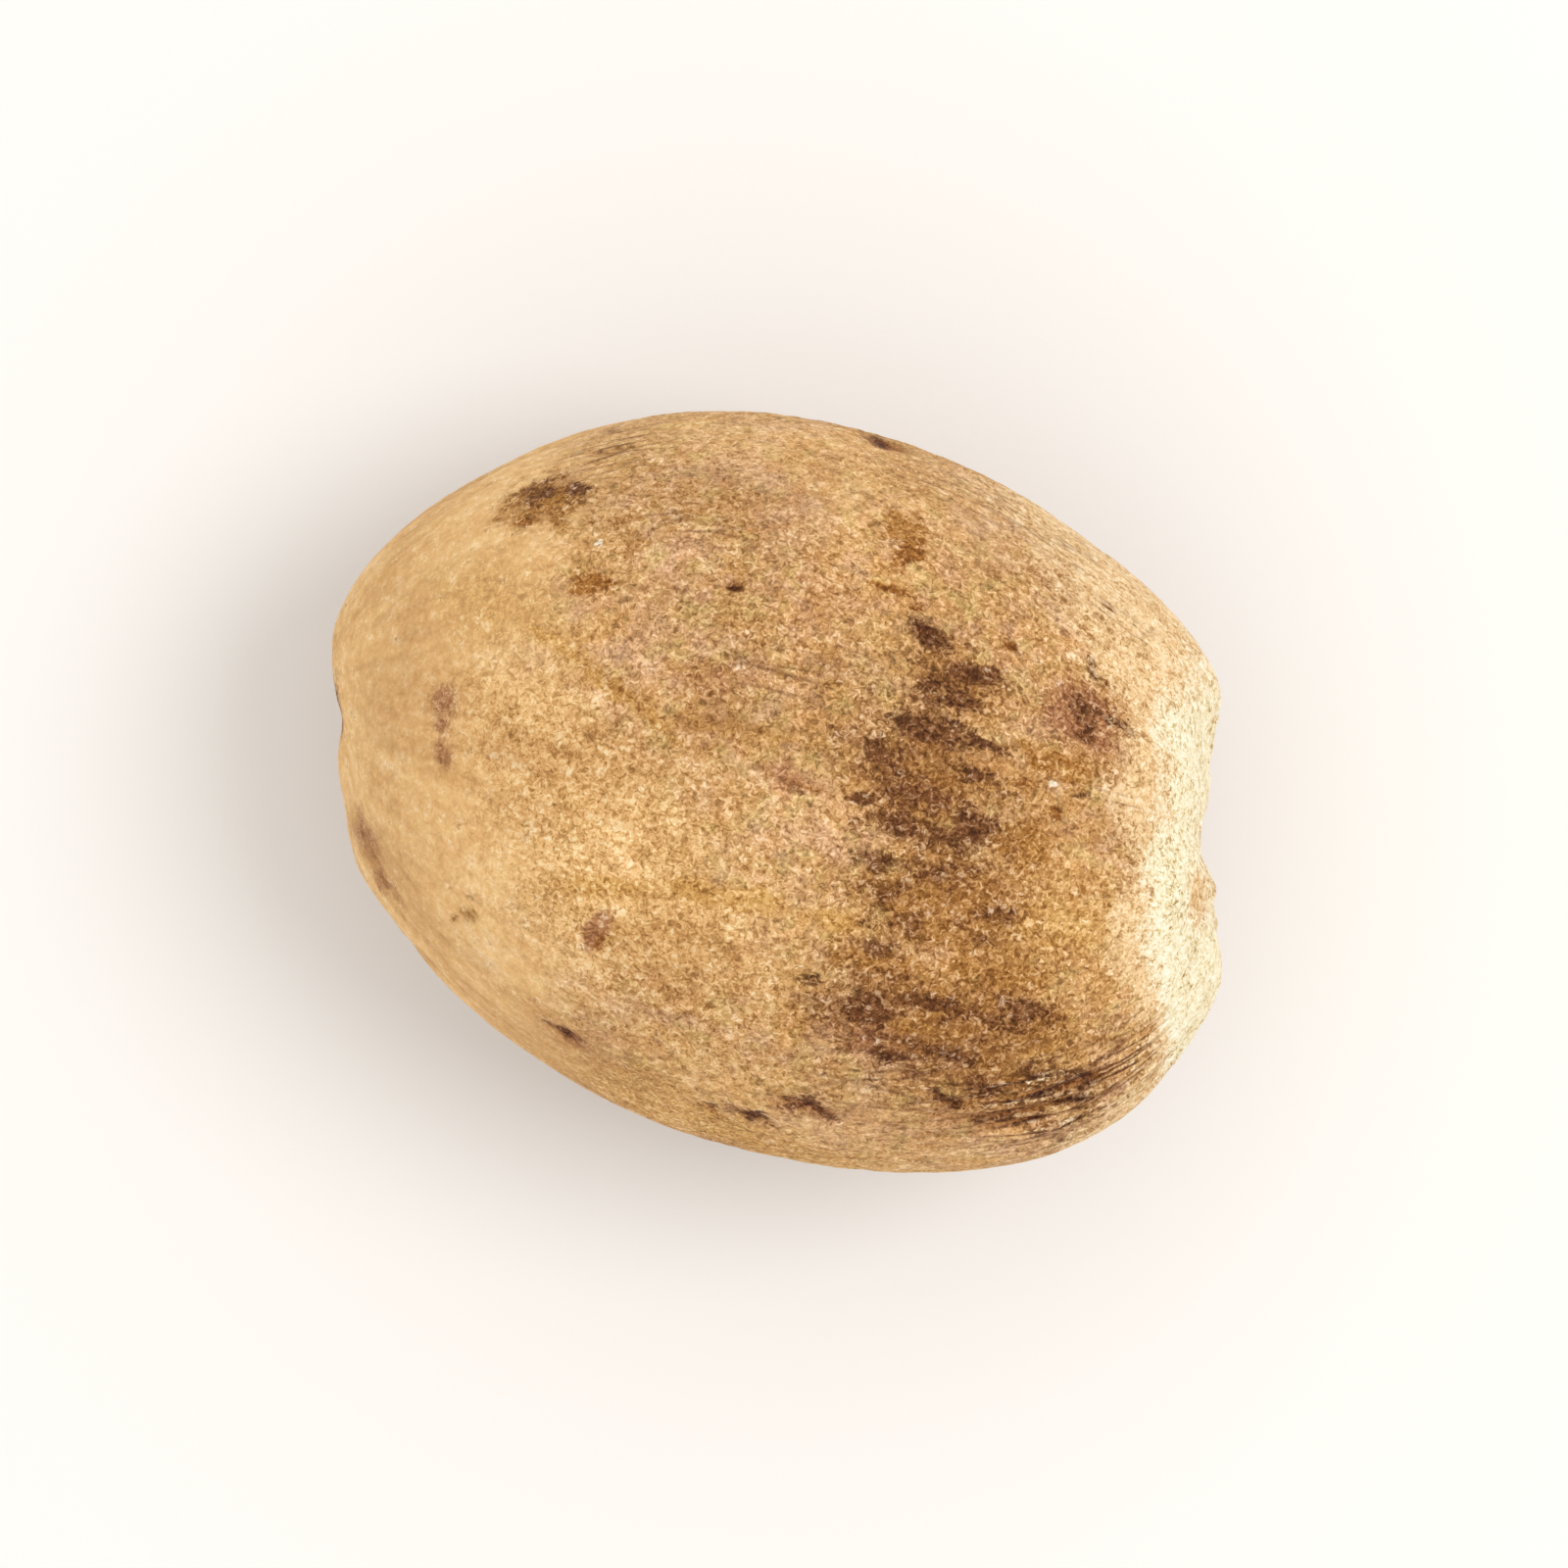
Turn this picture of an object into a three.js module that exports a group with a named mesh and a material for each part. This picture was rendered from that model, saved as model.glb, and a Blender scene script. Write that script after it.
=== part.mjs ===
// A whole dried nutmeg: the shelled seed, one solid, lying on its side.
// Millimetres, +Z up. +X runs along the long axis to the hilum, the scar where the seed hung
// in its fruit; the chalaza, a small dark dimple, is at the -X end. The raphe, a furrow that
// joins the two, runs along the underside.
import * as THREE from "three";
import { mergeVertices } from "three/addons/utils/BufferGeometryUtils.js";

// Driving dimensions of the seed, before it is laid down.
const length = 25; // along X
const width = 18.8; // along Y
const height = 18.1; // along Z
const hilumFullness = 0.22; // how much blunter than an ellipsoid the hilum half is
const chalazaFullness = 0.25; // and how much thinner the other end is, towards its tip
const facetRows = 21; // each edge of the icosahedron is cut this many times
const facetCrowding = 0.14; // pulls facets towards the hilum, which has the finest forms

// The hilum: a slanting dish, taller than it is wide, with a pleated lip round it.
const hilum = {
  centre: new THREE.Vector3(10.6, 3.1, 0.3),
  facing: new THREE.Vector3(0.88, 0.4, 0.17).normalize(),
  halfWidth: 4.6,
  tallness: 1.6,
  depth: 1.5,
  lipPlace: 0.72, // as a share of the dish's radius
  lipWidth: 0.18,
  lipHeight: 0.12,
  pleats: 7,
  pleatSpread: 0.45, // how far the pleats reach to both sides of the lip
  pleatDepth: 0.1,
};
// Lobes that make the dish's outline uneven, as shares of its radius.
const hilumLobes = [
  { count: 2, share: 0.07, start: 0.8 },
  { count: 3, share: 0.05, start: -1.1 },
];
// Warts and pits in and round the dish, where the stalk tore off: a pit's rise is negative.
const hilumMarks = [
  { centre: new THREE.Vector3(11.9, 1.5, 0.1), reach: 0.8, rise: 0.3 },
  { centre: new THREE.Vector3(12.4, -0.3, 0), reach: 1.0, rise: 0.2 },
  { centre: new THREE.Vector3(10.7, 1.7, 4.7), reach: 1.3, rise: -0.35 },
  { centre: new THREE.Vector3(10.0, 0.4, 6.2), reach: 1.2, rise: 0.2 },
  { centre: new THREE.Vector3(11.4, 0.9, -2.6), reach: 1.0, rise: 0.3 },
  { centre: new THREE.Vector3(10.6, 4.4, -1.4), reach: 1.0, rise: -0.25 },
];

// Broad flats and bulges that make the egg uneven: a flat's rise is negative.
const unevenness = [
  { centre: new THREE.Vector3(-8, 5.8, 2), reach: 4, rise: -0.2 },
  { centre: new THREE.Vector3(-11.6, -3.6, 1), reach: 2.2, rise: -0.35 },
  { centre: new THREE.Vector3(-9.9, -6.2, 0.5), reach: 1.4, rise: 0.35 },
  { centre: new THREE.Vector3(11.0, -4.4, 1), reach: 2.5, rise: 0.2 },
  { centre: new THREE.Vector3(-4, -9, 2), reach: 4, rise: -0.17 },
];

// The chalaza: a dimple with a low collar.
const chalaza = {
  centre: new THREE.Vector3(-11.7, -2.2, -0.7),
  radius: 1.0,
  depth: 0.4,
  collarRadius: 1.8,
  collarWidth: 0.7,
  collarHeight: 0.12,
};

// The raphe, a groove between two lips. Its angle is round the X axis, from +Y towards +Z.
const raphe = {
  angle: -2.5,
  sway: 0.14,
  swayPerMm: 0.25,
  swayStart: 0.6,
  halfWidth: 0.9,
  depth: 0.36,
  lipHeight: 0.14,
  fadeFrom: 7.5, // along X, where it starts to die out before the hilum
  fadeTo: 11.5,
  startRate: 4, // how quickly it deepens away from the seed's ends
};

// Broad lengthwise swells round the seed: how many, how high, and where each starts.
const swells = [
  { count: 2, rise: 0.1, start: 1.9, twist: 0.5 },
  { count: 3, rise: 0.09, start: -0.7, twist: 1.3 },
  { count: 5, rise: 0.06, start: 2.6, twist: -1.1 },
];

// Lengthwise furrows, faint on top and deeper on the underside.
const furrows = {
  count: 13,
  topDepth: 0.015,
  underDepth: 0.09,
  topFrom: 0.45, // share of the half height above the middle where they start to deepen
  underFrom: 0.6, // and below the middle, where they are at their deepest
  bends: { depth: 0.9, perMm: 0.3 },
  wander: { depth: 0.7, perMm: 0.35, perTurn: 2 },
  endFade: 0.7,
};

// How it lies: nose-up tilt about Y that puts the seed's weight over its rest spot, and how
// far its roundness is worn flat there.
const restTilt = THREE.MathUtils.degToRad(-1.0);
const restFlat = 0.32;

const bell = (distance, reach) => Math.exp(-((distance / reach) ** 2));

// The egg's own surface in the direction of a unit vector.
function eggPoint(direction) {
  const along = direction.x;
  const fullness = 1 + (along > 0 ? hilumFullness * along ** 3 : chalazaFullness * along ** 5);
  return new THREE.Vector3(
    (length / 2) * along,
    (width / 2) * fullness * direction.y,
    (height / 2) * fullness * direction.z,
  );
}

// Outward direction of the egg at a point on it.
function eggNormal(point) {
  return new THREE.Vector3(
    point.x / (length / 2) ** 2,
    point.y / (width / 2) ** 2,
    point.z / (height / 2) ** 2,
  ).normalize();
}

// 1 in the middle of the seed's length, 0 at both ends.
const midLength = (point) => Math.max(0, 1 - (point.x / (length / 2)) ** 2);

const marksHeight = (marks, point) =>
  marks.reduce((sum, mark) => sum + mark.rise * bell(point.distanceTo(mark.centre), mark.reach), 0);

function swellHeight(point, around) {
  const along = point.x / (length / 2);
  const rise = swells.reduce(
    (sum, swell) =>
      sum + swell.rise * Math.sin(swell.count * around + swell.twist * along + swell.start),
    0,
  );
  return rise * Math.sqrt(midLength(point));
}

function furrowHeight(point, around) {
  const { bends, wander } = furrows;
  const below = -point.z / (height / 2);
  const underside = THREE.MathUtils.smoothstep(below, -furrows.topFrom, furrows.underFrom);
  const depth = THREE.MathUtils.lerp(furrows.topDepth, furrows.underDepth, underside);
  const bend = bends.depth * Math.sin(bends.perMm * point.x);
  const drift = wander.depth * Math.sin(wander.perMm * point.x + wander.perTurn * around);
  const wave = Math.sin(furrows.count * around + bend + drift);
  return depth * wave * midLength(point) ** furrows.endFade;
}

function rapheHeight(point, around) {
  const middle = raphe.angle + raphe.sway * Math.sin(raphe.swayPerMm * point.x + raphe.swayStart);
  const turn = Math.atan2(Math.sin(around - middle), Math.cos(around - middle));
  if (Math.abs(turn) > Math.PI / 2) return 0;
  const aside = Math.abs(turn) * Math.hypot(point.y, point.z);
  const groove = -raphe.depth * bell(aside, raphe.halfWidth);
  const lips = raphe.lipHeight * bell(aside - 2 * raphe.halfWidth, raphe.halfWidth);
  const fade = 1 - THREE.MathUtils.smoothstep(point.x, raphe.fadeFrom, raphe.fadeTo);
  return fade * (groove + lips) * Math.min(1, raphe.startRate * midLength(point));
}

function chalazaHeight(point) {
  const away = point.distanceTo(chalaza.centre);
  const collar = chalaza.collarHeight * bell(away - chalaza.collarRadius, chalaza.collarWidth);
  return collar - chalaza.depth * bell(away, chalaza.radius);
}

// Two directions in the plane of the dish's rim: across it, level, and up it.
const dishAcross = new THREE.Vector3(0, 0, 1).cross(hilum.facing).normalize();
const dishUp = new THREE.Vector3().crossVectors(hilum.facing, dishAcross);

// Presses the hilum's dish, lip and pleats into a point of the skin, along the dish's facing.
function pressHilum(point) {
  if (point.x < 0) return point;
  const offset = point.clone().sub(hilum.centre);
  const across = offset.dot(dishAcross) / hilum.halfWidth;
  const up = offset.dot(dishUp) / (hilum.halfWidth * hilum.tallness);
  const turn = Math.atan2(up, across);
  const lobes = hilumLobes.reduce(
    (sum, lobe) => sum + lobe.share * Math.sin(lobe.count * turn + lobe.start),
    0,
  );
  const away = Math.hypot(across, up) / (1 + lobes); // 0 at the dish's centre, 1 at its edge
  const dish = away < 1 ? (1 - away ** 2) ** 2 : 0;
  const lip = bell(away - hilum.lipPlace, hilum.lipWidth);
  const pleatTurn = hilum.pleats * (turn + lobes);
  const pleat = Math.sin(pleatTurn) * bell(away - hilum.lipPlace, hilum.pleatSpread);
  const rise =
    hilum.lipHeight * lip +
    hilum.pleatDepth * pleat +
    marksHeight(hilumMarks, point) -
    hilum.depth * dish;
  return point.addScaledVector(hilum.facing, rise);
}

function skinPoint(direction) {
  const point = eggPoint(direction);
  const around = Math.atan2(point.z, point.y);
  const rise =
    marksHeight(unevenness, point) +
    swellHeight(point, around) +
    furrowHeight(point, around) +
    rapheHeight(point, around) +
    chalazaHeight(point);
  return pressHilum(point.addScaledVector(eggNormal(point), rise));
}

// A ball of even triangles whose corners are moved onto the seed's skin, then laid down.
function seedGeometry() {
  const ball = new THREE.IcosahedronGeometry(1, facetRows);
  ball.deleteAttribute("normal");
  ball.deleteAttribute("uv");
  const geometry = mergeVertices(ball);
  const corners = geometry.attributes.position;
  const corner = new THREE.Vector3();
  for (let i = 0; i < corners.count; i++) {
    corner.fromBufferAttribute(corners, i);
    corner.x += facetCrowding;
    const skin = skinPoint(corner.normalize());
    corners.setXYZ(i, skin.x, skin.y, skin.z);
  }
  geometry.rotateY(restTilt);
  return layDown(geometry);
}

// Puts the geometry on z = 0 with its box centred on the origin, and flattens where it rests.
function layDown(geometry) {
  geometry.computeBoundingBox();
  const { min, max } = geometry.boundingBox;
  geometry.translate(-(min.x + max.x) / 2, -(min.y + max.y) / 2, -min.z - restFlat);
  const corners = geometry.attributes.position;
  for (let i = 0; i < corners.count; i++) corners.setZ(i, Math.max(0, corners.getZ(i)));
  geometry.computeVertexNormals();
  return geometry;
}

const seedSkin = new THREE.MeshStandardMaterial({
  color: 0xd3a66e, // tan, dusty
  roughness: 0.78,
  metalness: 0,
});

const nutmeg = new THREE.Mesh(seedGeometry(), seedSkin);
nutmeg.name = "nutmeg";

const part = new THREE.Group();
part.add(nutmeg);

export default part;
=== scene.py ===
import math

import bpy
import numpy as np
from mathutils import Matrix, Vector, noise


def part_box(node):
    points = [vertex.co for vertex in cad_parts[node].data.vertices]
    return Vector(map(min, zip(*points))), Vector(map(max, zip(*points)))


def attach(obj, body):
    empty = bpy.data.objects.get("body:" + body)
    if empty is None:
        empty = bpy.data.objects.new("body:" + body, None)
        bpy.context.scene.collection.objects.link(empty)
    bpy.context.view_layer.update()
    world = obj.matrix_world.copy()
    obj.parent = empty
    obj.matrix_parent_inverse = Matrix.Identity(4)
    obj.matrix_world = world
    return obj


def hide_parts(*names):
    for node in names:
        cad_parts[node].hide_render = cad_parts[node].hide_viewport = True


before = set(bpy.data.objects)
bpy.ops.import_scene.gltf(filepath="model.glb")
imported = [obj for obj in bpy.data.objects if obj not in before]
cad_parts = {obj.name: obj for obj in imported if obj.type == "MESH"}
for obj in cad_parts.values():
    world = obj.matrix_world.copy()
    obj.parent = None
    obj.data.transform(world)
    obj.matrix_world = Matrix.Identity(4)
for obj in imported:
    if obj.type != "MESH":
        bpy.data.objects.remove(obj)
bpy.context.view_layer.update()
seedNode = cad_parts["nutmeg"]
mm = 0.001  # sizes and places below are in millimetres where a note says so

print("nutmeg: frame loaded")


def toLinear(hexColor):
    # an sRGB hex value as a linear colour with full alpha
    parts = [int(hexColor[i : i + 2], 16) / 255 for i in (1, 3, 5)]
    linear = [p / 12.92 if p <= 0.04045 else ((p + 0.055) / 1.055) ** 2.4 for p in parts]
    return (*linear, 1)


def addNode(tree, kind, inputs, stops=(), **settings):
    # one node: its settings, its inputs (a value or a socket that feeds it), a ramp's stops
    node = tree.nodes.new(kind)
    for key, value in settings.items():
        setattr(node, key, value)
    for socket, value in inputs.items():
        if isinstance(value, bpy.types.NodeSocket):
            tree.links.new(value, node.inputs[socket])
        else:
            node.inputs[socket].default_value = value
    for i, (position, hexColor) in enumerate(stops):
        elements = node.color_ramp.elements
        element = elements[i] if i < len(elements) else elements.new(position)
        element.position = position
        element.color = toLinear(hexColor)
    return node


def smoothStep(low, high, value):
    t = np.clip((value - low) / (high - low), 0, 1)
    return t * t * (3 - 2 * t)


def bell(distance, reach):
    return np.exp(-((distance / reach) ** 2))


# the seed's body: a cube rounded into an egg, then drawn onto the frame's solid
body = {
    "cuts": 31,  # cuts across each side of the cube
    "levels": 2,  # subdivision on top of that, to a vertex every 0.12 mm or so
    "clearance": 1.08,  # how much larger than the solid the egg starts
    "fairing": 36,  # smoothing rounds that melt the solid's half-millimetre facets
    "fairingShare": 0.5,  # share of the way to its neighbours that each round moves a point
}


def makeBody():
    low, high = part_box("nutmeg")
    middle = (low + high) / 2
    bpy.ops.object.select_all(action="DESELECT")
    bpy.ops.mesh.primitive_cube_add(size=1, location=middle)
    egg = bpy.context.object
    egg.name = "nutmegSkin"
    egg.data.name = "nutmegSkin"
    bpy.ops.object.mode_set(mode="EDIT")
    bpy.ops.mesh.select_all(action="SELECT")
    bpy.ops.mesh.subdivide(number_cuts=body["cuts"])
    bpy.ops.transform.tosphere(value=1)
    bpy.ops.object.mode_set(mode="OBJECT")
    # tosphere leaves a ball of the cube's mean radius, so it is sized from what it has become
    reach = max(v.co.length for v in egg.data.vertices)
    egg.scale = (high - low) / 2 / reach * body["clearance"]
    bpy.ops.object.transform_apply(location=True, rotation=True, scale=True)

    refine = egg.modifiers.new("refine", "SUBSURF")
    refine.levels = body["levels"]
    refine.render_levels = body["levels"]
    wrap = egg.modifiers.new("wrap", "SHRINKWRAP")
    wrap.target = seedNode
    wrap.wrap_method = "PROJECT"
    wrap.use_negative_direction = True
    wrap.use_positive_direction = True
    fair = egg.modifiers.new("fair", "SMOOTH")
    fair.factor = body["fairingShare"]
    fair.iterations = body["fairing"]
    for modifier in ("refine", "wrap", "fair"):
        bpy.ops.object.modifier_apply(modifier=modifier)
    bpy.ops.object.shade_smooth()
    return egg


def readPoints(field="co"):
    values = np.empty(len(skin.data.vertices) * 3)
    skin.data.vertices.foreach_get(field, values)
    return values.reshape(-1, 3)


skin = makeBody()
basePoints = readPoints() / mm
baseNormals = readPoints("normal")
x, y, z = basePoints.T
print("nutmeg: body wrapped,", len(x), "vertices")

# The skin's fibres run from the chalaza, the dimple at the thin end, to the hilum, the scar
# at the blunt one: the places of both, in mm.
fibres = {
    "chalaza": np.array([-11.7, -2.2, 8.3]),
    "hilum": np.array([11.3, 2.7, 9.4]),
    "drum": 9.0,  # mm, the radius that the seed is rolled onto for its fibres
    "crowded": (1.0, 4.5),  # mm from the axis, between which fibres spread to the points' spacing
}


def layFibres():
    # Each point's place along the fibres and round them, on a drum of one radius, so that
    # fibres draw together at both ends. Also how far the point is from the drum's axis.
    axis = fibres["hilum"] - fibres["chalaza"]
    axis /= np.linalg.norm(axis)
    side = np.cross([0, 0, 1], axis)
    side /= np.linalg.norm(side)
    offset = basePoints - fibres["chalaza"]
    across = offset @ side
    up = offset @ np.cross(axis, side)
    fromAxis = np.maximum(np.hypot(across, up), 1e-6)  # never quite 0, to divide by
    onDrum = fibres["drum"] / fromAxis
    return np.stack([offset @ axis, across * onDrum, up * onDrum], axis=1), fromAxis


fibrePlaces, fromAxis = layFibres()
# 0 at the two ends, where fibres crowd closer than the skin's points, and 1 away from them.
uncrowded = smoothStep(*fibres["crowded"], fromAxis)

noiseFalloff = 0.8  # how quickly the finer octaves of a noise fade
noiseSteps = 2.1  # how much finer each octave is than the one before


def noiseAt(places, size, stretch=1.0, seed=0.0, octaves=2):
    # soft noise from -1 to 1 whose blobs are size mm across, and stretch times as long
    scaled = places / np.array([size * stretch, size, size]) + seed
    return np.array([noise.fractal(p, noiseFalloff, noiseSteps, octaves) for p in scaled])


def crackleAt(places, size, stretch=1.0, seed=0.0):
    # 0 on the edges of a net of cells, up to 1 in their middles
    scaled = places / np.array([size * stretch, size, size]) + seed
    nearest = [noise.voronoi(p)[0] for p in scaled]
    return np.clip([near[1] - near[0] for near in nearest], 0, 1)


# Marks on the upper side, as ovals seen from above. All in mm and degrees: x, y, half length,
# half width, turn from +X towards +Y, and strength, which is the depth of a pit or a crease and
# the height of a ridge.
pits = [
    (-3.05, 4.2, 0.26, 0.2, 20, 0.10),
    (-3.4, 3.15, 0.1, 0.08, 0, 0.05),
    (1.37, 5.42, 0.09, 0.09, 0, 0.07),
    (4.05, 5.38, 0.09, 0.09, 0, 0.07),
    (2.0, 4.85, 0.4, 0.24, -25, 0.09),
    (4.2, 2.85, 0.25, 0.08, -20, 0.07),
    (-2.85, -8.05, 0.6, 0.14, -8, 0.08),
    (1.4, -8.35, 0.2, 0.1, 0, 0.07),
    (2.5, -8.2, 0.7, 0.12, -2, 0.11),
    (3.65, -7.45, 0.75, 0.16, 8, 0.11),
    (-6.25, -6.2, 0.2, 0.15, -20, 0.08),
    (8.1, 2.62, 0.4, 0.07, -4, 0.05),
    (-5.85, 3.2, 0.2, 0.08, 10, 0.05),
    (-0.7, 9.2, 0.7, 0.14, 3, 0.14),
    (-11.5, -2.9, 0.5, 0.25, -65, 0.16),
    (-9.1, -5.8, 0.5, 0.15, -40, 0.04),
]
creases = [
    (-2.8, 5.2, 1.3, 0.035, -11, 0.03),
    (0.9, 5.5, 0.6, 0.035, -10, 0.03),
    (4.6, 5.35, 1.0, 0.04, -6, 0.035),
    (6.4, 7.15, 0.8, 0.05, -11, 0.1),
    (6.95, 7.02, 0.32, 0.07, -6, 0.12),
    (6.7, 6.85, 0.6, 0.04, -10, 0.05),
    (5.6, 7.6, 0.5, 0.04, -12, 0.04),
    (-7.1, 6.4, 0.6, 0.06, 34, 0.05),
    (5.7, -5.6, 0.45, 0.06, 14, 0.06),
    (7.3, 4.6, 0.4, 0.06, -12, 0.05),
    (-7.0, -7.7, 0.6, 0.08, -20, 0.05),
    (-4.9, 0.7, 1.3, 0.25, -18, 0.04),
    (-1.8, 0.9, 1.9, 0.25, 14, 0.04),
    (10.35, 2.0, 0.9, 0.15, -78, 0.09),
    (11.0, 1.4, 0.8, 0.3, -66, 0.07),
    (11.6, -0.3, 0.6, 0.2, -65, 0.05),
    (9.6, -4.6, 1.3, 0.12, 45, 0.04),
    (9.3, -5.2, 1.3, 0.1, 40, 0.03),
    (8.6, -5.9, 1.4, 0.1, 30, 0.04),
    (10.3, 4.0, 0.5, 0.15, -60, 0.06),
]
ridges = [
    (9.7, 3.6, 1.2, 0.38, -72, 0.16),
    (10.25, 3.85, 1.0, 0.65, -72, 0.26),
    (10.2, 1.3, 1.5, 0.4, -80, 0.22),
    (10.9, -0.8, 1.0, 0.4, -58, 0.14),
    (11.4, 1.85, 0.5, 0.4, -60, 0.42),
    (12.0, -0.4, 0.8, 0.35, -80, 0.05),
    (8.2, 6.3, 1.8, 0.5, -50, 0.08),
    (9.8, -5.6, 1.6, 0.3, 45, 0.1),
]
purpleStains = [
    (-8.6, 4.55, 0.7, 0.4, 42, 0.6),
    (-7.8, 4.95, 0.6, 0.3, 22, 0.65),
    (-3.05, 4.2, 0.25, 0.2, 0, 1.0),
    (2.0, 4.85, 0.55, 0.32, -35, 1.3),
    (3.4, 4.35, 0.75, 0.32, 15, 1.2),
    (3.4, 3.6, 0.6, 0.3, 0, 0.9),
    (2.5, 3.75, 0.4, 0.12, 15, 0.8),
    (2.9, 2.65, 1.1, 0.4, 8, 1.0),
    (4.2, 2.9, 0.8, 0.13, -6, 1.2),
    (2.0, 1.6, 0.6, 0.5, 0, 0.9),
    (3.0, 0.9, 0.9, 0.55, 0, 0.7),
    (3.1, 0.1, 0.6, 0.35, 0, 0.9),
    (4.3, 0.2, 0.8, 0.4, 0, 0.7),
    (4.8, 0.8, 0.5, 0.5, 0, 1.1),
    (4.2, 2.1, 0.9, 0.2, -8, 0.8),
    (2.0, 0.35, 0.4, 0.25, 0, 1.0),
    (0.4, 0.0, 0.35, 0.15, 0, 0.6),
    (0.7, 6.65, 0.36, 0.14, 62, 0.45),
    (6.3, 4.6, 0.5, 0.35, -15, 0.6),
    (7.15, 4.65, 0.6, 0.13, -12, 1.1),
    (6.65, 4.05, 0.2, 0.3, -20, 1.1),
    (6.2, 5.65, 0.5, 0.1, -22, 1.0),
    (2.8, -0.9, 0.7, 0.3, 8, 0.85),
    (4.2, -0.7, 0.9, 0.3, 8, 0.7),
    (3.3, -2.5, 0.8, 0.3, 4, 0.5),
    (3.8, -2.9, 0.5, 0.2, 10, 0.8),
    (5.6, -3.7, 1.1, 0.28, 10, 1.1),
    (7.8, -3.05, 0.8, 0.24, 14, 1.0),
    (7.4, -3.6, 0.5, 0.3, 0, 0.7),
    (4.1, -4.45, 0.65, 0.5, 0, 1.2),
    (2.5, -4.2, 0.4, 0.25, 30, 0.8),
    (5.0, -5.4, 0.5, 0.26, 8, 1.3),
    (6.6, -4.9, 0.9, 0.25, 14, 0.7),
    (6.8, -5.9, 0.55, 0.18, 4, 1.1),
    (7.9, -5.3, 0.8, 0.25, 20, 0.75),
    (9.1, -4.8, 0.8, 0.2, 42, 0.6),
    (10.0, -4.5, 0.6, 0.15, 50, 0.5),
    (8.3, -5.9, 0.6, 0.2, 22, 0.8),
    (3.65, -7.45, 0.75, 0.16, 8, 0.85),
    (3.75, -7.3, 0.3, 0.26, 0, 0.9),
    (2.5, -8.2, 0.7, 0.12, -2, 0.8),
    (1.4, -8.25, 0.25, 0.12, 0, 0.7),
    (-2.85, -8.05, 0.6, 0.16, -8, 0.7),
    (-1.1, 9.2, 0.4, 0.2, 3, 0.6),
    (7.1, 2.6, 0.5, 0.08, 0, 0.6),
]
rustStains = [
    (-8.3, 4.4, 1.4, 0.75, 32, 0.95),
    (-3.05, 4.2, 0.5, 0.4, 0, 0.5),
    (0.4, 7.1, 0.8, 0.45, -30, 0.95),
    (-3.3, -5.5, 0.35, 0.25, 30, 0.6),
    (6.0, 3.1, 1.7, 0.42, 0, 0.9),
    (6.3, 0.9, 1.2, 0.8, 0, 0.85),
    (4.8, -1.2, 2.2, 1.6, 5, 0.9),
    (6.8, -2.3, 2.1, 1.4, 5, 0.7),
    (7.4, 0.3, 1.3, 0.6, 0, 0.45),
    (11.1, -2.3, 1.0, 0.3, -78, 0.9),
    (8.2, -3.4, 1.7, 1.0, 10, 0.8),
    (4.0, -3.3, 2.2, 0.6, 5, 0.8),
    (6.0, -4.6, 2.6, 0.9, 5, 0.9),
    (8.8, -5.0, 1.8, 0.9, 25, 0.8),
    (-6.25, -6.2, 0.35, 0.25, 0, 0.7),
    (-8.5, -6.5, 0.8, 0.4, -40, 0.4),
    (1.5, -8.4, 1.2, 0.25, 0, 0.6),
    (2.6, 2.0, 1.8, 2.2, 0, 0.5),
]
rustSpots = [
    (-6.3, 2.95, 0.7, 0.22, 22, 1.0),
    (-6.55, 2.6, 0.5, 0.12, 25, 0.9),
    (0.75, 6.6, 0.6, 0.26, 62, 1.3),
    (6.65, 1.92, 0.16, 0.13, 0, 1.5),
    (1.37, 5.42, 0.12, 0.12, 0, 1.9),
    (4.05, 5.38, 0.13, 0.12, 0, 1.9),
    (0.2, 6.95, 0.35, 0.12, -20, 0.8),
    (0.6, 5.55, 0.7, 0.1, 2, 0.9),
    (-8.6, 3.75, 0.4, 0.15, 20, 0.9),
    (-2.8, -5.45, 0.45, 0.2, 75, 0.7),
    (5.6, 2.3, 0.5, 0.2, 10, 0.7),
    (0.6, 0.2, 0.6, 0.12, 5, 0.7),
    (7.0, -5.95, 0.7, 0.14, 4, 0.9),
    (8.0, -3.0, 1.0, 0.12, 12, 0.8),
    (5.7, -3.7, 1.2, 0.13, 8, 0.8),
    (6.5, 3.2, 1.0, 0.1, -3, 0.7),
    (-1.0, 9.15, 0.5, 0.15, 3, 0.8),
    (6.8, 5.4, 0.5, 0.12, -20, 0.8),
]
mauveStains = [
    (-8.8, -1.3, 0.38, 0.55, 12, 0.95),
    (-8.65, -1.85, 0.28, 0.35, 20, 0.9),
    (-8.35, -2.5, 0.2, 0.5, 30, 0.9),
    (-9.6, -5.3, 0.8, 0.36, -42, 0.8),
    (-8.7, -6.3, 0.6, 0.28, -42, 0.65),
    (-3.0, -5.25, 0.26, 0.45, -10, 1.9),
    (-2.3, 1.8, 1.5, 0.7, 8, 0.55),
    (-0.8, 4.6, 1.8, 1.6, 0, 0.42),
    (0.2, 0.2, 1.0, 0.35, 0, 0.8),
    (6.4, 4.4, 1.3, 0.9, -10, 1.05),
    (7.6, 3.9, 0.8, 0.4, -10, 0.7),
    (-2.7, -8.1, 0.7, 0.2, -8, 0.9),
    (3.6, -7.5, 1.0, 0.3, 6, 0.8),
    (4.6, -5.2, 1.2, 0.6, 0, 0.7),
]
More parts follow.
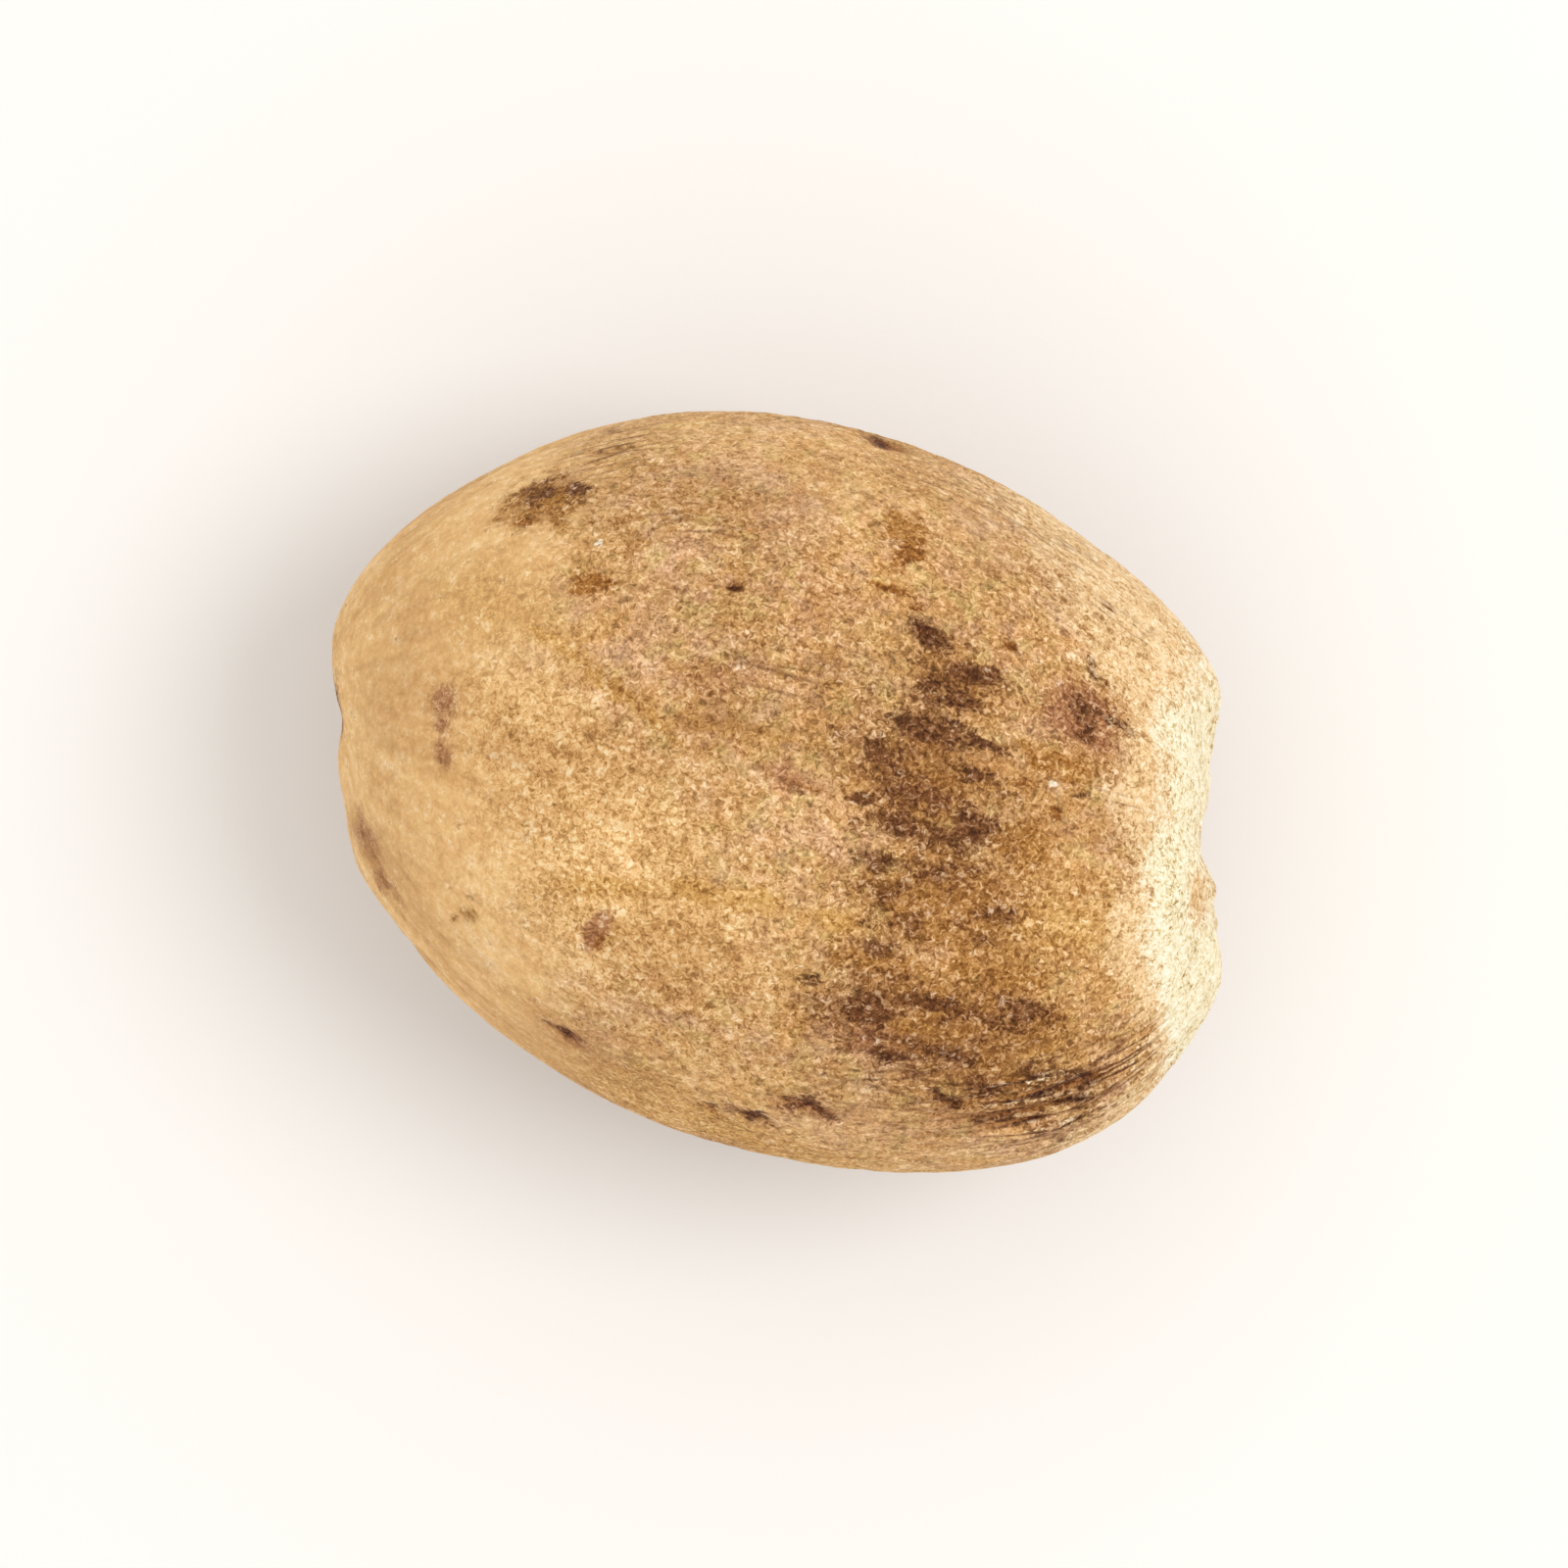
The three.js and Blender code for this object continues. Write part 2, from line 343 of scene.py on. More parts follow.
# Ochre stains. The thin lines just left of the middle, along the folds there, and the long band at
# the lower edge are partly painted shade.
ochreStainsAndShade = [
    (-6.8, 1.15, 1.3, 0.2, -12, 1.2),
    (-4.9, 0.65, 1.0, 0.22, -18, 1.4),
    (-3.7, 0.3, 0.8, 0.18, -20, 1.1),
    (-2.4, 0.65, 1.3, 0.2, 12, 0.9),
    (-0.2, 1.2, 1.2, 0.2, 14, 0.7),
    (-3.2, -4.1, 1.5, 0.3, 18, 1.2),
    (-0.2, -3.2, 2.0, 0.35, 10, 1.4),
    (2.6, -2.7, 1.2, 0.25, 8, 1.0),
    (-2.0, -4.8, 1.6, 0.2, 18, 0.7),
    (0.5, 5.55, 0.9, 0.2, 3, 0.8),
    (6.95, 5.9, 0.8, 0.3, -35, 1.0),
    (7.8, -0.9, 2.0, 1.9, 0, 0.75),
    (8.6, -3.9, 0.9, 0.3, 20, 0.9),
    (10.95, 1.3, 1.0, 0.42, -65, 1.2),
    (1.5, -8.9, 6.5, 0.9, 0, 0.85),
    (-6.5, 2.8, 0.9, 0.5, 25, 0.6),
    (-8.7, 1.6, 2.3, 1.6, 0, 0.65),
]
# Where the coat is a paler, yellower tan.
paleStains = [
    (-6.0, -2.2, 5.0, 2.4, -12, 1.15),
    (-2.6, -4.4, 4.2, 1.7, 0, 1.1),
]
# Where a brown haze has soaked in, mottled with small darker patches.
mottledPlaces = [
    (3.1, 1.4, 2.4, 1.9, 0, 0.95),
    (3.2, 4.0, 1.6, 1.2, 0, 0.8),
    (4.8, -1.2, 2.6, 1.7, 8, 0.95),
    (6.2, -4.0, 3.0, 1.6, 10, 1.0),
    (8.0, -5.0, 2.0, 0.8, 22, 0.9),
    (9.6, -4.7, 1.5, 0.7, 48, 0.85),
    (6.3, 4.6, 1.1, 0.85, 0, 0.85),
    (4.2, -4.8, 2.0, 0.9, 8, 0.85),
]
# Where thin cracks run along the fibres.
crackedPlaces = [
    (9.2, -5.2, 2.2, 1.2, 42, 1.0),
    (5.5, -6.2, 2.6, 1.2, 10, 0.6),
    (6.5, 7.1, 0.85, 0.18, -11, 1.25),
    (3.5, 8.5, 3.6, 0.5, -6, 0.5),
    (3.2, 3.0, 1.6, 1.8, 0, 0.4),
    (10.6, -3.6, 1.6, 0.8, 60, 1.0),
    (8.1, 2.65, 0.7, 0.25, -4, 0.7),
    (-7.2, 6.4, 1.2, 0.6, 34, 0.8),
    (-4.5, 5.2, 1.6, 0.5, 12, 0.6),
    (-1.0, 2.5, 1.6, 0.8, 8, 0.6),
    (10.0, 5.2, 1.0, 1.6, 20, 0.5),
]
# Painted glints: single grains painted near white where highlights sparkle on the coat.
paintedGlints = [
    (6.3, 2.55, 0.13, 0.1, 20, 1.0),
    (-6.65, 3.9, 0.12, 0.1, 60, 1.0),
    (3.0, -1.25, 0.08, 0.08, 0, 1.0),
    (4.7, -2.25, 0.1, 0.08, 60, 1.0),
]
marking = {
    "upperSide": (6.5, 9.0),  # mm up, between which the marks above fade in
    "ragSize": 0.55,  # mm, the bites in their ragged edges
}
upperSide = smoothStep(*marking["upperSide"], z)
ragX = noiseAt(basePoints, marking["ragSize"], seed=9.4, octaves=3)
ragY = noiseAt(basePoints, marking["ragSize"], seed=31.7, octaves=3)


def ovalsAt(marks, ragged):
    # how strongly each point lies in a list of marks, whose edges wander by ragged mm
    total = np.zeros(len(x))
    for markX, markY, halfLong, halfWide, turn, strength in marks:
        cosine = math.cos(math.radians(turn))
        sine = math.sin(math.radians(turn))
        dx = x + ragged * ragX - markX
        dy = y + ragged * ragY - markY
        lengthwise = (dx * cosine + dy * sine) / halfLong
        sideways = (dy * cosine - dx * sine) / halfWide
        total = np.maximum(total, strength * bell(np.hypot(lengthwise, sideways), 1.0))
    return total * upperSide


# Where the pale bloom round the scar and its cream core begin, seen from above: (y, x) pairs.
scar = {
    "bloom": [
        (-8, 10.5), (-6, 10.1), (-5, 10.8), (-4, 11.2), (-3, 11.3), (-2, 10.6), (-1, 9.3),
        (0, 9.0), (1, 9.2), (2, 8.6), (3, 7.6), (4, 7.7), (5, 7.4), (6, 6.2), (7, 5.0), (9, 2.5),
    ],
    "cream": [
        (-8, 13), (-4, 12.2), (-3, 12.0), (-2, 11.5), (-1, 10.6), (0, 10.0), (1, 9.7),
        (2, 9.3), (3, 9.4), (4, 9.1), (5, 8.2), (6, 8.9), (7, 9.3), (9, 9.5),
    ],
    "above": (6.0, 9.5),  # mm up, between which those edges take over from the ones below
    # Lower down, both begin this many mm from the seed's middle, along the scar's facing.
    "bloomReach": 9.9,
    "creamReach": 10.7,
    "middle": np.array([0, 0, 8.8]),
    "facing": np.array([0.95, 0.28, 0.1]),
    "driftSize": 0.9,  # mm, the soft bites in both edges
    "drift": 0.5,  # mm, how deep the bites are
    "driftAbove": 0.35,  # mm, and how deep seen from above
    "streaks": 0.9,  # mm, how far fibres carry both edges in and out, below
    "streakSize": 1.6,
    "softness": 0.75,  # mm, half the width of both edges
    "farSoftness": 2.6,  # mm, and on the +Y flank, where the bloom thins out slowly
    "farFlank": (4.5, 7.5),  # mm along Y, between which that sets in
    "valley": [
        (10.95, 1.3, 1.0, 0.42, -65, 1.0),
        (10.4, 2.8, 0.6, 0.2, -60, 0.6),
        (11.1, -2.3, 1.0, 0.3, -78, 0.8),
    ],
    "valleyTop": (9.0, 11.0),  # mm up, between which the valley fades in
    "lowPart": (12.0, 8.5),  # mm up, between which the worn lower part fades in
    "tornSize": 1.1,  # mm, the bits that the stalk tore out of it
    "tornEdge": (0.0, 0.55),  # in the noise that they come from
    "heart": 1.3,  # mm, the reach of the tan middle where the stalk sat
    # What is gone: of the bloom in the valley and where it is worn, and of the cream low down.
    "bloomLostInValley": 0.3,
    "bloomLostByWear": 0.7,
    "creamLostLow": 0.5,
}


def layScar():
    # how far each point lies in the scar's cream core and in the bloom round it, and the torn
    # bits and the tan middle of its lower part
    drift = noiseAt(basePoints, scar["driftSize"], seed=4.4, octaves=3)
    streaks = noiseAt(fibrePlaces, scar["streakSize"], stretch=5.0, seed=17.3, octaves=3)
    fromMiddle = basePoints - scar["middle"]
    reach = fromMiddle @ scar["facing"] + scar["drift"] * drift + scar["streaks"] * streaks
    above = smoothStep(*scar["above"], z)
    flank = smoothStep(*scar["farFlank"], y)
    softness = scar["softness"] + (scar["farSoftness"] - scar["softness"]) * flank
    parts = {}
    for name in ("bloom", "cream"):
        edgeY, edgeX = np.array(scar[name]).T
        fromAbove = x + scar["driftAbove"] * drift - np.interp(y, edgeY, edgeX)
        below = reach - scar[name + "Reach"]
        past = below + (fromAbove - below) * above
        parts[name] = smoothStep(-softness, softness, past)

    low = parts["cream"] * smoothStep(*scar["lowPart"], z)
    tears = noiseAt(basePoints, scar["tornSize"], seed=27.1, octaves=3)
    heart = bell(np.linalg.norm(basePoints - fibres["hilum"], axis=1), scar["heart"])
    parts["bare"] = parts["bloom"].copy()
    parts["low"] = low
    parts["torn"] = smoothStep(*scar["tornEdge"], tears) * low
    parts["heart"] = heart * low

    valley = ovalsAt(scar["valley"], ragged=0.15) * smoothStep(*scar["valleyTop"], z)
    worn = np.maximum(parts["torn"], parts["heart"])
    parts["bloom"] *= 1 - scar["bloomLostInValley"] * valley
    parts["bloom"] *= 1 - scar["bloomLostByWear"] * worn
    parts["cream"] *= 1 - scar["creamLostLow"] * low
    parts["cream"] *= (1 - valley) * (1 - worn)
    return parts


scarParts = layScar()

# the relief that the solid leaves out, in mm unless a note says otherwise
relief = {
    "underside": (12.5, 4.5),  # heights between which the smooth upper side ends
    "topFurrow": 0.022,  # depth of the lengthwise furrows on the smooth upper side
    "underFurrow": 0.13,  # and on the underside
    "furrowWidth": 1.0,
    "furrowLine": 0.22,  # share of the noise that a furrow's groove takes
    "furrowSharpness": 1.5,  # power that narrows the groove towards its bottom
    "furrowSwell": 0.35,  # share of the depth that the skin swells between the grooves
    "endFurrowWidth": 3.4,  # on the drum; near the ends that is a third of it or less
    "endFurrowReach": (2.5, 6.0),  # from the axis, between which they turn into the fine ones
    "endFurrow": 0.04,  # depth towards the scar, where the skin puckers
    "scarEnd": (6.5, 10.5),  # along X, between which that sets in
    "scarEndLost": 0.6,  # share of it that is lost on the underside
    "crackle": 0.05,  # depth of the net of fine cracks on the sides and underside
    "crackleSize": 1.5,
    "crackleOnTop": 0.12,  # share of that depth on the upper side
    "crackleLine": 0.22,  # share of a cell that its cracks take
    "pucker": 0.09,  # depth of the fine wrinkles at the -Y side of the scar end
    "puckerWidth": 0.42,
    "puckerPlace": (9.2, -5.0),  # their middle, seen from above
    "puckerReach": (3.0, 1.9),  # how far they go from it along X and along Y
    "puckerTop": (5, 9),  # heights between which they fade in
    "puckerGain": 1.6,  # steepens the wrinkles
    "puckerRange": (-1, 0.5),  # how far they then go down and up, as shares of the depth
    "fibreDepth": 0.008,  # the skin's own fine fibres
    "fibreWidth": 0.3,
    "grit": 0.012,  # height of the dusty coat's lumps
    "gritSize": 0.34,
    "swell": 0.05,  # height of the slow unevenness under it all
    "swellSize": 3.2,
    "tornDepth": 0.16,  # depth of the bits torn out of the scar
    "heartDepth": 0.4,  # and of its middle
}


def shapeRelief():
    # Fibres, cracks and ragged pits follow the seed's own flow, which no primitive or
    # modifier knows of, so they are worked into the skin point by point.
    under = smoothStep(*relief["underside"], z)
    scarEnd = smoothStep(*relief["scarEnd"], x) * (1 - relief["scarEndLost"] * under)

    # fine furrows along the body, and fewer, broader ones where they run together at the ends
    broad = noiseAt(fibrePlaces, relief["endFurrowWidth"], stretch=3.0, seed=23.9, octaves=1)
    fine = noiseAt(fibrePlaces, relief["furrowWidth"], stretch=4.5, seed=11.3, octaves=3)
    furrows = broad + (fine - broad) * smoothStep(*relief["endFurrowReach"], fromAxis)
    grooves = 1 - np.clip(np.abs(furrows) / relief["furrowLine"], 0, 1)
    depth = relief["topFurrow"] + (relief["underFurrow"] - relief["topFurrow"]) * under
    depth = np.maximum(depth, relief["endFurrow"] * scarEnd) * uncrowded
    rise = -depth * grooves ** relief["furrowSharpness"]
    rise += relief["furrowSwell"] * depth * furrows

    net = crackleAt(fibrePlaces, relief["crackleSize"], stretch=2.2, seed=3.7)
    netShare = relief["crackleOnTop"] + (1 - relief["crackleOnTop"]) * under
    netDepth = relief["crackle"] * netShare * uncrowded
    rise -= netDepth * (1 - smoothStep(0.0, relief["crackleLine"], net))

    middleX, middleY = relief["puckerPlace"]
    reachX, reachY = relief["puckerReach"]
    puckered = bell(np.hypot((x - middleX) / reachX, (y - middleY) / reachY), 1.0)
    puckered *= smoothStep(*relief["puckerTop"], z)
    wrinkle = noiseAt(fibrePlaces, relief["puckerWidth"], stretch=9.0, seed=5.1)
    wrinkle = np.clip(wrinkle * relief["puckerGain"], *relief["puckerRange"])
    rise += relief["pucker"] * puckered * wrinkle

    threads = noiseAt(fibrePlaces, relief["fibreWidth"], stretch=6.0, seed=14.9)
    swell = noiseAt(basePoints, relief["swellSize"], stretch=1.4, seed=7.9, octaves=1)
    rise += relief["fibreDepth"] * uncrowded * threads
    rise += relief["swell"] * swell
    rise += relief["grit"] * noiseAt(basePoints, relief["gritSize"], seed=2.2)
    rise -= relief["tornDepth"] * scarParts["torn"] + relief["heartDepth"] * scarParts["heart"]
    rise -= ovalsAt(pits, ragged=0.06)
    rise -= ovalsAt(creases, ragged=0.05)
    rise += ovalsAt(ridges, ragged=0.12)
    return rise


rise = shapeRelief()
moved = basePoints + baseNormals * rise[:, None]
moved[:, 2] = np.maximum(moved[:, 2], 0)  # flat where it rests
skin.data.vertices.foreach_set("co", (moved * mm).ravel())
skin.data.update()
print("nutmeg: relief shaped")


def paint(name, values, kind="FLOAT"):
    # what the finish needs to know at each point of the skin
    layer = skin.data.attributes.new(name, kind, "POINT")
    field = "vector" if kind == "FLOAT_VECTOR" else "value"
    layer.data.foreach_set(field, np.asarray(values, dtype=np.float32).ravel())


# How the marks and the scar become what the finish is told: places and sizes in mm, and
# shares from 0 to 1.
painting = {
    "hiddenSide": (9.3, 4.6),  # heights between which the stained underside begins
    "hiddenWander": 1.4,  # how far that edge wanders up and down
    "wanderSize": 3.5,
    "mottleSize": 0.8,
    "mottleEdge": (-0.3, 0.5),  # in its noise, as are the two edges below
    "blotchSize": 1.7,
    "blotchEdge": (0.34, 0.75),
    "rustBlotchSize": 1.9,
    "rustBlotchEdge": (0.2, 0.7),
    "dimple": 1.35,  # reach of the dark dimple at the thin end
    "dimpleRag": 0.5,  # how far its edge wanders
    "dimpleRagSize": 0.7,
    # How strong each stain is where the upper side is mottled, where the underside is
    # blotched or mottled, in the dimple, and in any blotch at all.
    "purple": {"mottled": 0.65, "underside": 0.9, "dimple": 0.85},
    "haze": {"mottled": 0.55, "mottles": 0.6, "underside": 0.5},
    "rust": {"mottled": 0.8, "underside": 0.8, "anywhere": 0.3},
    "crackedUnder": 0.7,  # how cracked the underside is
    "crackLostInCream": 0.9,
    "crackLostLow": 0.6,  # in the lower part of the scar
    "crackStart": (1.2, 3.0),  # from the axis, between which cracks set in
    "lowStreaks": 0.8,  # how streaky the lower part of the scar is
    "streakStart": (1.5, 4.0),
    "dustAndLightEnd": (-4.5, -10.5),  # along X, between which dust, partly painted light, pales the thin end
    "dustAndLightSlant": 0.9,  # how many mm further it goes for each mm past the next place
    "dustAndLightSlantFrom": -2,  # along Y
    "dustAndLightFlank": (5.0, 8.0),  # off to both sides, between which it sets in more thinly
    "dustAndLightFlankShare": 0.35,
    "cloudSize": 2.5,
    "cloudEnd": 1.2,  # how far clouds shift the dust's edge at the end
    "cloudFlank": 0.8,  # and at the flanks
    "dirtAndShadeDepth": 0.14,  # a hollow this deep gets the full dirt and painted shade
    "dirtAndShadeLostInBloom": 0.8,
    "dirtAndShadeInHeart": 0.5,
}


def paintSkin():
    wander = noiseAt(basePoints, painting["wanderSize"], seed=13.3)
    hiddenSide = smoothStep(*painting["hiddenSide"], z + painting["hiddenWander"] * wander)
    mottle = noiseAt(fibrePlaces, painting["mottleSize"], stretch=2.2, seed=6.6, octaves=4)
    mottle = smoothStep(*painting["mottleEdge"], mottle)
    blotch = noiseAt(fibrePlaces, painting["blotchSize"], stretch=2.2, seed=21.5, octaves=3)
    blotch = smoothStep(*painting["blotchEdge"], blotch)
    rustBlotch = noiseAt(fibrePlaces, painting["rustBlotchSize"], stretch=2.6, seed=33.1, octaves=3)
    rustBlotch = smoothStep(*painting["rustBlotchEdge"], rustBlotch)
    mottled = ovalsAt(mottledPlaces, ragged=0.4)

    rag = noiseAt(basePoints, painting["dimpleRagSize"], seed=44.7, octaves=3)
    fromDimple = np.linalg.norm(basePoints - fibres["chalaza"], axis=1)
    dimple = bell(fromDimple + painting["dimpleRag"] * rag, painting["dimple"])
    share = painting["purple"]
    purple = np.maximum.reduce(
        [
            ovalsAt(purpleStains, ragged=0.22),
            share["mottled"] * mottled * mottle,
            share["underside"] * hiddenSide * blotch * uncrowded,
            share["dimple"] * dimple,
        ]
    )
    share = painting["haze"]
    haze = np.maximum(
        mottled * (share["mottled"] + share["mottles"] * mottle),
        share["underside"] * hiddenSide * mottle * uncrowded,
    )
    share = painting["rust"]
    rust = np.maximum.reduce(
        [
            ovalsAt(rustStains, ragged=0.45),
            share["mottled"] * mottled,
            share["underside"] * hiddenSide * rustBlotch,
            share["anywhere"] * rustBlotch,
        ]
    )

    # no cracks, dirt or painted shade where the scar is bare, though fibres streak it low down
    low = scarParts["low"]
    cracked = np.maximum(ovalsAt(crackedPlaces, ragged=0.4), painting["crackedUnder"] * hiddenSide)
    cracked *= 1 - painting["crackLostInCream"] * scarParts["cream"]
    cracked *= 1 - painting["crackLostLow"] * low
    cracked *= smoothStep(*painting["crackStart"], fromAxis)
    streaksLow = painting["lowStreaks"] * low * smoothStep(*painting["streakStart"], fromAxis)
    # painted shade: the deeper the relief sinks a point, the darker it is painted, as dirt and as
    # the shade that the hollow would hold
    dirtAndShade = np.clip(-rise / painting["dirtAndShadeDepth"], 0, 1)
    dirtAndShade *= (
        1
        - painting["dirtAndShadeLostInBloom"] * scarParts["bare"]
        + painting["dirtAndShadeInHeart"] * scarParts["heart"]
    )

    # the dusty thin end and flanks, where the coat hides the grain; their paler colour is partly
    # dust and partly painted light, a brighter thin end and brighter flanks
    cloud = noiseAt(basePoints, painting["cloudSize"], seed=8.8)
    slant = painting["dustAndLightSlant"] * np.minimum(y - painting["dustAndLightSlantFrom"], 0)
    dustAndLight = smoothStep(*painting["dustAndLightEnd"], x + slant + painting["cloudEnd"] * cloud)
    aside = np.abs(y) + painting["cloudFlank"] * cloud
    flankDustAndLight = painting["dustAndLightFlankShare"] * smoothStep(*painting["dustAndLightFlank"], aside)

    paint("fibrePlace", fibrePlaces, "FLOAT_VECTOR")
    paint("purpleStain", purple)
    paint("hazeStain", haze)
    paint("rustStain", rust)
    paint("rustSpot", ovalsAt(rustSpots, ragged=0.1))
    paint("mauveStain", ovalsAt(mauveStains, ragged=0.15))
    paint("ochreStainAndShade", ovalsAt(ochreStainsAndShade, ragged=0.3))
    paint("bloom", scarParts["bloom"])
    paint("cream", scarParts["cream"])
    paint("dustAndLight", np.maximum(dustAndLight, flankDustAndLight))
    paint("paleStain", ovalsAt(paleStains, ragged=0.4))
    paint("hollowDirtAndShade", dirtAndShade)
    paint("paintedGlint", ovalsAt(paintedGlints, ragged=0.0))
    paint("cracked", cracked)
    paint("streaky", np.maximum(cracked, streaksLow))


paintSkin()
print("nutmeg: stains painted")

skinFinish = {
    # The noises that the coat is made of, in mm. Those with a length lie along the fibres and
    # are drawn out that far, and a curl winds a noise into short curls.
    "noises": {
        # the sandy grains of the coat
        "grain": {"size": 0.145, "detail": 3, "roughness": 0.7, "curl": 0.9},
        # the short dashes that the grains line up in
        "dashes": {"size": 0.14, "length": 0.6, "detail": 2, "roughness": 0.6},
        # the crumbs that break a stain's edge
        "clump": {"size": 0.4, "detail": 3, "roughness": 0.6},
        # the broad patches of lighter and darker tan
        "tone": {"size": 2.4, "length": 2.4, "detail": 3, "roughness": 0.55},
        # the fibres that show as streaks where the coat is cracked
        "streak": {"size": 0.2, "length": 2.4, "detail": 2, "roughness": 0.6},
    },
    "dashShare": 0.12,
    "toneStrength": 0.15,
    "clumpStrength": 0.26,
    "crackLength": 2.6,  # mm, between thin cracks along the fibres and across them
    "crackWidth": 0.5,
    "crackLine": (0.02, 0.11),  # share of that width where a crack is darkest and where it ends
    "crackGaps": (0.34, 0.48),  # in the clumps: the darker ones close a crack
    "bump": 0.6,
    "grainRise": 0.035,  # mm, bump of the grains
    "roughness": 0.76,
    "ior": 1.45,
    "gloss": 0.2,  # a dusty coat has little of the usual shine
    "stops": [0.34, 0.44, 0.5, 0.56, 0.66],
    "tan": ["#85572a", "#b4834b", "#c99960", "#dcae77", "#f8d09c"],
    # The noise of the tints, with where in it their edge starts and ends.
    "tintNoise": {"detail": 4, "roughness": 0.6, "edge": (0.5, 0.68)},
    # Tints of the tan: where in the noise each is, its size in mm, its hue, how much it covers.
    "tints": [
        (3.0, 2.4, "#c08a48", 0.45),
        (17.0, 2.4, "#bd957b", 0.45),
        (29.0, 2.4, "#cda565", 0.4),
        (41.0, 0.8, "#c58e58", 0.5),
        (53.0, 0.7, "#b7a064", 0.5),
        (67.0, 0.8, "#b5917a", 0.35),
    ],
    # What lies over the tan: the attribute that says where, whether the grains or the soft
    # patches pick its colour, how far clumps, grains and streaks break its edge (below 0, dark
    # grains turn first), where its edge starts and ends, how much it covers, and its colours
    # from dark to light.
    "layers": [
        {
            "mask": "paleStain",
            "drive": "grain",
            "break": (0.5, 0.1, 0.0),
            "edge": (0.1, 0.9),
            "cover": 0.95,
            "colors": ["#9f7240", "#ce9e60", "#e3b374", "#f6c88b", "#ffe8b0"],
        },
        # dust and painted light: the paler thin end and flanks
        {
            "mask": "dustAndLight",
            "drive": "soft",
            "break": (0.4, 0.4, 0.0),
            "edge": (0.0, 1.0),
            "cover": 0.76,
            "colors": ["#e2b272", "#ecbd80", "#f1c485", "#f7cd90", "#fdd9a2"],
        },
        # ochre stains, partly painted shade along the folds and the lower edge
        {
            "mask": "ochreStainAndShade",
            "drive": "grain",
            "break": (0.6, 0.3, 0.6),
            "edge": (0.1, 1.0),
            "cover": 0.7,
            "colors": ["#865720", "#b27d38", "#c8944b", "#d9a95e", "#f0c47c"],
        },
        {
            "mask": "rustStain",
            "drive": "grain",
            "break": (0.9, -0.45, 1.0),
            "edge": (0.15, 0.8),
            "cover": 0.88,
            "colors": ["#683a07", "#8b571b", "#a16b2b", "#b67f3c", "#daa663"],
        },
        {
            "mask": "hazeStain",
            "drive": "grain",
            "break": (1.0, -0.35, 1.2),
            "edge": (0.1, 0.9),
            "cover": 0.92,
            "colors": ["#4f2e0c", "#76491e", "#905e30", "#a47242", "#bf8e5c"],
        },
        {
            "mask": "mauveStain",
            "drive": "grain",
            "break": (0.9, -0.4, 0.0),
            "edge": (0.1, 0.9),
            "cover": 0.85,
            "colors": ["#70422a", "#955f3e", "#a9724c", "#ba845b", "#d6a37c"],
        },
        {
            "mask": "rustSpot",
            "drive": "grain",
            "break": (0.5, -0.3, 0.5),
            "edge": (0.2, 0.7),
            "cover": 0.9,
            "colors": ["#5f3109", "#854f1b", "#9d6428", "#b47a3a", "#d6a064"],
        },
        {
            "mask": "purpleStain",
            "drive": "grain",
            "break": (1.0, -0.6, 1.4),
            "edge": (0.14, 0.7),
            "cover": 0.96,
            "colors": ["#3a1c07", "#563012", "#6e4220", "#84542f", "#a67548"],
        },
        {
            "mask": "cracked",
            "drive": "grain",
            "break": (0.4, 0.8, 3.0),
            "edge": (0.95, 1.35),
            "cover": 0.8,
            "colors": ["#8a6238", "#b88c58", "#cda472", "#dfba88", "#f3d7a8"],
        },
        {
            "mask": "bloom",
            "drive": "grain",
            "break": (0.8, 1.2, 0.6),
            "edge": (0.1, 0.95),
            "cover": 0.85,
            "colors": ["#b68a55", "#dfb884", "#eecb98", "#f6d8a9", "#fde8c4"],
        },
        {
            "mask": "cream",
            "drive": "grain",
            "break": (0.6, 1.2, 0.8),
            "edge": (0.05, 0.7),
            "cover": 1.0,
            "colors": ["#a8824a", "#e4d2a3", "#f0e3c0", "#f6eed3", "#fbf5e2"],
        },
        # painted glints: near-white grains standing in for highlights
        {
            "mask": "paintedGlint",
            "drive": "grain",
            "break": (0.0, 0.5, 0.0),
            "edge": (0.3, 0.6),
            "cover": 0.9,
            "colors": ["#d8c8a8", "#efe3c8", "#fbf2dc", "#fff8e6", "#fffdf4"],
        },
    ],
    "crackShade": "#784a20",
    # the colour multiplied in where the relief sinks: dirt and painted shade
    "dirtAndShade": "#ab845c",
}


def toneGrains(tree, noises, sand):
    # grains, pushed lighter or darker by the broad patches and the clumps
    toned = sand
    for name in ("tone", "clump"):
        strength = skinFinish[name + "Strength"]
        push = addNode(
            tree,
            "ShaderNodeMapRange",
            {
                "Value": noises[name],
                "From Min": 0,
                "From Max": 1,
                "To Min": -strength / 2,
                "To Max": strength / 2,
            },
        ).outputs["Result"]
        toned = addNode(tree, "ShaderNodeMath", {0: toned, 1: push}, operation="ADD").outputs[0]
    return toned


def layTan(tree, along, toned):
    # the tan, from dark grains to light ones, and the tints that drift across it
    stops = list(zip(skinFinish["stops"], skinFinish["tan"]))
    color = addNode(tree, "ShaderNodeValToRGB", {"Fac": toned}, stops).outputs["Color"]
    kind = skinFinish["tintNoise"]
    for offset, size, tint, cover in skinFinish["tints"]:
        where = addNode(
            tree, "ShaderNodeMapping", {"Vector": along, "Location": [offset] * 3}
        ).outputs["Vector"]
        patch = addNode(
            tree,
            "ShaderNodeTexNoise",
            {
                "Vector": where,
                "Scale": 1 / size,
                "Detail": kind["detail"],
                "Roughness": kind["roughness"],
            },
        ).outputs["Fac"]
        mask = addNode(
            tree,
            "ShaderNodeMapRange",
            {
                "Value": patch,
                "From Min": kind["edge"][0],
                "From Max": kind["edge"][1],
                "To Max": cover,
            },
        ).outputs["Result"]
        # 6 and 7 are the mix's two colours
        color = addNode(
            tree,
            "ShaderNodeMix",
            {"Factor": mask, 6: color, 7: toLinear(tint)},
            data_type="RGBA",
            blend_type="COLOR",
        ).outputs[2]
    return color


